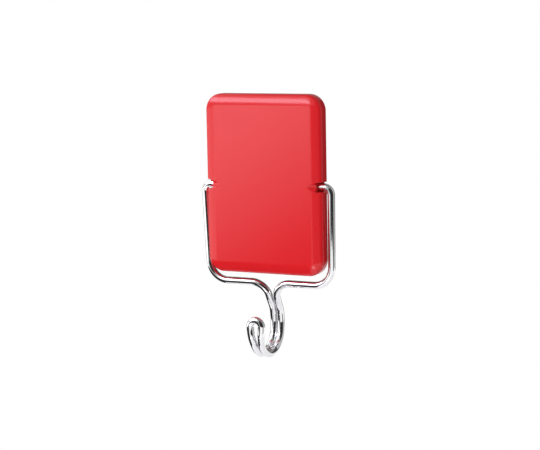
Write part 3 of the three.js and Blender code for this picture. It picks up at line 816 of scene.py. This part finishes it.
def bump(tree, height, strength, distance):
    """A normal from a height."""
    node = tree.nodes.new("ShaderNodeBump")
    node.inputs["Strength"].default_value = strength
    node.inputs["Distance"].default_value = distance
    tree.links.new(height, node.inputs["Height"])
    return node.outputs["Normal"]


def new_material(name, metallic=0.0, **constants):
    """A material with its tree and its shader's inputs. Constants go on the shader's own sockets."""
    material = bpy.data.materials.new(name)
    material.use_nodes = True
    shader = material.node_tree.nodes["Principled BSDF"].inputs
    shader["Metallic"].default_value = metallic
    for label, value in constants.items():
        shader[label.replace("_", " ")].default_value = value
    return material, material.node_tree, shader


def dressed(tree, shader, drift, colour, share, roughness, normal):
    """Links a finish to a shader: a colour that drifts towards a share of itself, a roughness and
    a normal."""
    other = tuple(share * channel for channel in colour)
    tree.links.new(mixed(tree, drift, tuple(colour), other), shader["Base Color"])
    tree.links.new(roughness, shader["Roughness"])
    tree.links.new(normal, shader["Normal"])


def gloss_plastic(finish):
    """Glossy moulded plastic, with a faint waviness and hairlines in its shine."""
    material, tree, shader = new_material("glossy_red_plastic", IOR=1.5)
    surface = placed(tree, "moulded_surface", Grain_Scale=420.0, Cloud_Scale=45.0, Scuff_Scale=420.0)
    worn = math_node(tree, "MULTIPLY", surface["Scuff"], 0.1)
    roughness = math_node(tree, "ADD", ranged(tree, surface["Cloud"], 0.14, 0.2), worn)
    dressed(tree, shader, surface["Cloud"], finish.case_red, 0.97, roughness,
            bump(tree, surface["Height"], 0.05, mm(0.05)))
    return material


def matte_plastic(finish):
    """Matte moulded plastic with a fine eroded grain."""
    material, tree, shader = new_material("matte_black_plastic", IOR=1.5)
    surface = placed(tree, "moulded_surface", Grain_Scale=3500.0)
    dressed(tree, shader, surface["Cloud"], finish.base_black, 1.6,
            ranged(tree, surface["Height"], 0.42, 0.6), bump(tree, surface["Height"], 0.35, mm(0.08)))
    return material


def bright_plating(finish):
    """Bright plating over drawn wire."""
    material, tree, shader = new_material("bright_plating", metallic=1.0)
    drawn = placed(tree, "drawn_metal", Line_Scale=22.0, Fleck_Scale=1400.0)
    dressed(tree, shader, drawn["Fleck"], finish.plating, 0.9,
            ranged(tree, drawn["Lines"], 0.03, 0.1), bump(tree, drawn["Lines"], 0.04, mm(0.02)))
    return material


def grainy(name, colour, share, scale, roughness, relief, **constants):
    """A material of pressed grains: its colour drifts towards a share of itself, its roughness
    lies between two numbers, and its relief is the bump's strength and distance."""
    material, tree, shader = new_material(name, **constants)
    grain = placed(tree, "pressed_grain", Grain_Scale=scale)
    dressed(tree, shader, grain["Tone"], colour, share,
            ranged(tree, grain["Tone"], *roughness), bump(tree, grain["Height"], *relief))
    return material


def grip_rubber(finish):
    """Dull rubber with fine dimples and a dusty bloom."""
    return grainy("grip_rubber", finish.rubber_grey, 1.8, 1100.0, (0.7, 0.95), (0.5, mm(0.15)), IOR=1.45)


def zinc_steel(finish):
    """Zinc-plated steel with small crystals."""
    return grainy(
        "zinc_plated_steel", finish.steel, 0.9, 700.0, (0.25, 0.5), (0.08, mm(0.03)), metallic=1.0
    )


def sintered_ferrite(finish):
    """Sintered ferrite, dull and grainy."""
    return grainy(
        "sintered_ferrite", finish.ferrite, 1.7, 2200.0, (0.45, 0.8), (0.4, mm(0.08)), metallic=0.25
    )


def finished(obj, material, body, slot, *nodes):
    """Gives a piece its material, and a new one its body and the nodes it stands for. The slot is not
    used.
    """
    obj.data.materials.clear()
    obj.data.materials.append(material)
    if nodes:
        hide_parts(*nodes)
        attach(obj, body)


# Operators


class HOOK_OT_case(bpy.types.Operator):
    """Make the moulded case"""

    bl_idname = "hook.case"
    bl_label = "Case"

    def execute(self, context):
        settings = context.scene.magnetic_hook
        case, base = settings.case, settings.base
        back = CASE_HIGH.y
        front = back - case.depth
        points, outside = case_rings(case, front, back)
        cut_notches(points, outside, case, front, back)
        obj = piece("moulded_case", points, closed_stack(points), CREASE)
        places = screw_places(case, base)
        boss = [front + case.wall / 2, back]
        inside = [turned("boss", [case.boss_radius] * 2, boss, *place) for place in places]
        inside += rib_frames(case, base, front, back) + cradles(case, front)
        carve(obj, inside, "UNION", CREASE)
        bore = [back - case.bore_depth, back + PAST]
        cuts = [turned("bore", [base.hole_radius] * 2, bore, *place) for place in places]
        carve(obj, cuts + pivot_grooves(case, settings.wire, back), sharp=CREASE)
        finished(obj, gloss_plastic(settings.finish), "case", "case_plastic", "front_case")
        return {"FINISHED"}


class HOOK_OT_base(bpy.types.Operator):
    """Make the base that closes the case, and the rubber sheet on it"""

    bl_idname = "hook.base"
    bl_label = "Base and sheet"

    def execute(self, context):
        settings = context.scene.magnetic_hook
        case, base = settings.case, settings.base
        back = BASE_HIGH.y
        front = CASE_HIGH.y + base.seat_gap
        points = base_rings(case, base, front, back)
        body = piece("base_body", points, closed_stack(points), CREASE)
        carve(body, base_cutters(settings, front, back), sharp=CREASE)
        finished(body, matte_plastic(settings.finish), "case", "base_plastic", "magnet_base")
        points = sheet_rings(case, base)
        sheet = piece("rubber_sheet", points, closed_stack(points), SOFT_CREASE)
        finished(sheet, grip_rubber(settings.finish), "case", "grip_rubber", "grip_sheet")
        return {"FINISHED"}


class HOOK_OT_wire(bpy.types.Operator):
    """Make the bent wire"""

    bl_idname = "hook.wire"
    bl_label = "Bent wire"

    def execute(self, context):
        settings = context.scene.magnetic_hook
        path = wire_path(settings.case, settings.wire)
        points, along = wire_rings(path, settings.wire)
        turn = np.array(Matrix.Rotation(lean(path), 3, "X"))
        points = points @ turn.T + np.array(PIVOT)
        faces = [face[::-1] for face in closed_stack(points)]
        obj = piece("bent_wire", points, faces, SOFT_CREASE)
        ring_uv(obj, along, points.shape[1])
        finished(obj, bright_plating(settings.finish), "bail", "wire_plating", "hook_wire")
        return {"FINISHED"}


class HOOK_OT_inside(bpy.types.Operator):
    """Finish the magnets, the yoke plates and the screws inside"""

    bl_idname = "hook.inside"
    bl_label = "Magnets, yokes and screws"

    def execute(self, context):
        finish = context.scene.magnetic_hook.finish
        steel, ferrite = zinc_steel(finish), sintered_ferrite(finish)
        for name, obj in frame["nodes"].items():
            if name.startswith("magnet_") and name != "magnet_base":
                finished(obj, ferrite, "case", "ferrite")
            elif name.startswith(("yoke_", "base_screw_")):
                finished(obj, steel, "case", "steel")
        return {"FINISHED"}


def towards(azimuth, elevation):
    """The direction at an azimuth, 0 in front and 90 at the right, and an elevation, in degrees."""
    a, e = radians(azimuth), radians(elevation)
    return Vector((sin(a) * cos(e), -cos(a) * cos(e), sin(e)))


def camera_at(stage):
    """The camera, at an azimuth and an elevation round the case's rear rim, tilted by the roll."""
    back = towards(np.degrees(stage.view_azimuth), np.degrees(stage.view_elevation))
    level = Vector((cos(stage.view_azimuth), sin(stage.view_azimuth), 0))
    upright = back.cross(level)
    c, s = cos(stage.view_roll), sin(stage.view_roll)
    right, up = c * level + s * upright, c * upright - s * level
    place = right * stage.aim_right - up * stage.aim_down + back * stage.distance
    place += Vector((0, CASE_HIGH.y, 0))
    data = bpy.data.cameras.new("camera")
    data.lens, data.sensor_width = stage.lens, 36
    camera = bpy.data.objects.new("camera", data)
    turn = Matrix((right, up, back)).transposed().to_4x4()
    camera.matrix_world = Matrix.Translation(place) @ turn
    bpy.context.scene.collection.objects.link(camera)
    bpy.context.scene.camera = camera


def softbox(name, azimuth, elevation, distance, size, power, tint, shines, lights):
    """A lamp of a width and a height that looks at the object. It shows in what shines, or lights
    what is matte, or both."""
    data = bpy.data.lights.new(name, "AREA")
    data.shape, data.energy = "RECTANGLE", power
    data.size, data.size_y = size
    data.color = tint
    lamp = bpy.data.objects.new(name, data)
    lamp.location = towards(azimuth, elevation) * distance
    lamp.rotation_euler = towards(azimuth, elevation).to_track_quat("Z", "Y").to_euler()
    lamp.visible_glossy, lamp.visible_diffuse = shines, lights
    bpy.context.scene.collection.objects.link(lamp)


def screen(name, azimuths, elevations, distance, low, high=None, turn=0.0, tint=(1, 1, 1)):
    """Part of a sphere round the object that is seen only in what shines: distance times
    (sin a cos e, -cos a cos e, sin e). It glows evenly, or from low to high over its middle half
    in a direction at turn from its right-hand side."""
    across, up = 25, 9
    a, e = np.radians(np.meshgrid(np.linspace(*azimuths, across), np.linspace(*elevations, up)))
    points = distance * np.stack([np.sin(a) * np.cos(e), -np.cos(a) * np.cos(e), np.sin(e)], -1)
    k, i = np.meshgrid(np.arange(up - 1), np.arange(across - 1), indexing="ij")
    first = (across * k + i).reshape(-1, 1)
    obj = piece(name, points, (first + [0, 1, across + 1, across]).tolist())
    material, tree, shader = new_material(name + "_cloth", Specular_IOR_Level=0, Emission_Strength=low)
    shader["Base Color"].default_value = (0, 0, 0, 1)
    shader["Emission Color"].default_value = (*tint, 1)
    if high is not None:
        middle = towards(sum(azimuths) / 2, sum(elevations) / 2)
        along = middle.to_track_quat("Z", "Y") @ Vector((cos(radians(turn)), sin(radians(turn)), 0))
        quarter = distance * radians(elevations[1] - elevations[0]) / 4
        centre = middle.dot(along) * distance
        reach = vector_math(tree, "DOT_PRODUCT", object_place(tree), along)["Value"]
        glow = ranged(tree, reach, low, high, centre - quarter, centre + quarter)
        tree.links.new(glow, shader["Emission Strength"])
    obj.data.materials.append(material)
    obj.visible_camera = obj.visible_shadow = obj.visible_diffuse = False


# Lamps: name, azimuth, elevation, distance, width and height, watts, tint, whether it shows in
# what shines, and whether it lights what is matte
SOFTBOXES = (
    ("key_softbox", -42, 27, 0.9, (1.0, 0.22), 3.7, (0.92, 0.83, 1), True, True),
    ("front_softbox", 0, 5, 1.2, (1.2, 1.2), 5.9, (1, 1, 1), False, True),
    ("low_softbox", -2, -35, 0.8, (0.14, 0.24), 0.88, (1, 1, 1), True, False),
)

# The screen that the flat face mirrors. It brightens from the lower right to the upper left.
FACE_SCREEN = ("face_screen", (-39, -13), (-25, 9), 0.27, 0.0, 2.35, 123, (0.95, 0.94, 0.97))

# Evenly glowing screens: name, azimuths, elevations, distance and glow
SCREENS = (
    ("left_low_screen", (-100, -36), (-15, 1), 0.9, 1.5),
    ("left_band_screen", (-100, -8), (1, 19), 1.0, 0.6),
    ("left_high_screen", (-125, -8), (19, 62), 1.05, 1.3),
    ("left_floor_screen", (-125, -16), (-60, -24), 0.29, 0.03),
    ("front_screen", (-8, 64), (-15, 17), 1.0, 0.025),
    ("front_high_screen", (-8, 14), (17, 45), 1.0, 0.7),
    ("front_right_screen", (14, 64), (17, 45), 1.0, 0.05),
    ("front_top_screen", (-8, 64), (45, 62), 1.0, 0.35),
    ("right_screen", (64, 92), (-25, 62), 1.0, 0.05),
    ("far_right_screen", (92, 120), (-15, 62), 1.0, 0.48),
    ("rear_right_screen", (134, 165), (-16, 62), 0.25, 0.06),
    ("rear_far_screen", (120, 165), (-15, 62), 1.0, 0.5),
    ("rear_screen", (165, 235), (-15, 62), 1.0, 0.3),
    ("left_rear_screen", (235, 260), (-15, 1), 1.0, 0.08),
    ("ceiling_screen", (0, 360), (62, 90), 1.0, 0.25),
)


def white_world():
    """White for the camera and in what shines or is clear, and a soft fill for the rest."""
    world = bpy.data.worlds.new("studio")
    world.use_nodes = True
    bpy.context.scene.world = world
    tree = world.node_tree
    light = tree.nodes["Background"]
    light.inputs["Color"].default_value = (1, 1, 1, 1)
    path = tree.nodes.new("ShaderNodeLightPath").outputs
    seen = math_node(tree, "ADD", path["Is Camera Ray"], path["Is Glossy Ray"], True)
    seen = math_node(tree, "ADD", seen, path["Is Transmission Ray"], True)
    tree.links.new(math_node(tree, "MAXIMUM", seen, 0.4), light.inputs["Strength"])


def pale_floor(drop, reach):
    """A round pale floor under the object. It looks white where no shadow falls, and it thins out
    from half its reach to its edge."""
    sides = 64
    a = np.linspace(0, 2 * pi, sides, endpoint=False)
    points = np.stack([reach * np.cos(a), reach * np.sin(a), 0 * a - drop], 1)
    floor = piece("floor", points, [list(range(sides))])
    material, tree, shader = new_material("pale_floor", Roughness=0.9)
    shader["Base Color"].default_value = (0.86, 0.86, 0.86, 1)
    shader["Emission Color"].default_value = (1, 1, 1, 1)
    flat = vector_math(tree, "MULTIPLY", object_place(tree), (1, 1, 0))["Vector"]
    away = vector_math(tree, "LENGTH", flat)["Value"]
    tree.links.new(ranged(tree, away, 1, 0, reach / 2, reach, True), shader["Alpha"])
    path = tree.nodes.new("ShaderNodeLightPath").outputs
    seen = math_node(tree, "MULTIPLY", path["Is Camera Ray"], 0.6)
    shone = math_node(tree, "MULTIPLY", path["Is Glossy Ray"], 0.35)
    tree.links.new(math_node(tree, "MAXIMUM", seen, shone), shader["Emission Strength"])
    floor.data.materials.append(material)


class HOOK_OT_stage(bpy.types.Operator):
    """Make the camera, the lamps, the floor and the white surroundings"""

    bl_idname = "hook.stage"
    bl_label = "Stage"

    def execute(self, context):
        stage = context.scene.magnetic_hook.stage
        camera_at(stage)
        context.scene.view_settings.view_transform = "Standard"
        white_world()
        pale_floor(stage.floor_drop, stage.floor_reach)
        for row in SOFTBOXES:
            softbox(*row)
        screen(*FACE_SCREEN)
        for row in SCREENS:
            screen(*row)
        return {"FINISHED"}


class HOOK_PT_panel(bpy.types.Panel):
    """The hook's pieces and sizes"""

    bl_label = "Magnetic hook"
    bl_idname = "HOOK_PT_panel"
    bl_space_type = "VIEW_3D"
    bl_region_type = "UI"
    bl_category = "Hook"

    def draw(self, context):
        settings = context.scene.magnetic_hook
        for operator in OPERATORS:
            self.layout.operator(operator.bl_idname)
        for part in ("case", "base", "wire", "finish", "stage"):
            box = self.layout.box()
            group = getattr(settings, part)
            for name in group.bl_rna.properties.keys():
                if name not in ("rna_type", "name"):
                    box.prop(group, name)


OPERATORS = (HOOK_OT_case, HOOK_OT_base, HOOK_OT_wire, HOOK_OT_inside, HOOK_OT_stage)
CLASSES = (CaseSizes, BaseSizes, WireSizes, Finishes, StageSettings, HookSettings,
           *OPERATORS, HOOK_PT_panel)


def register():
    for cls in CLASSES:
        bpy.utils.register_class(cls)
    bpy.types.Scene.magnetic_hook = PointerProperty(
        type=HookSettings, name="Magnetic hook", description="Sizes, colours and stage"
    )


def unregister():
    del bpy.types.Scene.magnetic_hook
    for cls in reversed(CLASSES):
        bpy.utils.unregister_class(cls)


def main():
    register()
    for make in (bpy.ops.hook.case, bpy.ops.hook.base, bpy.ops.hook.wire, bpy.ops.hook.inside,
                 bpy.ops.hook.stage):
        make()


if __name__ == "__main__":
    main()
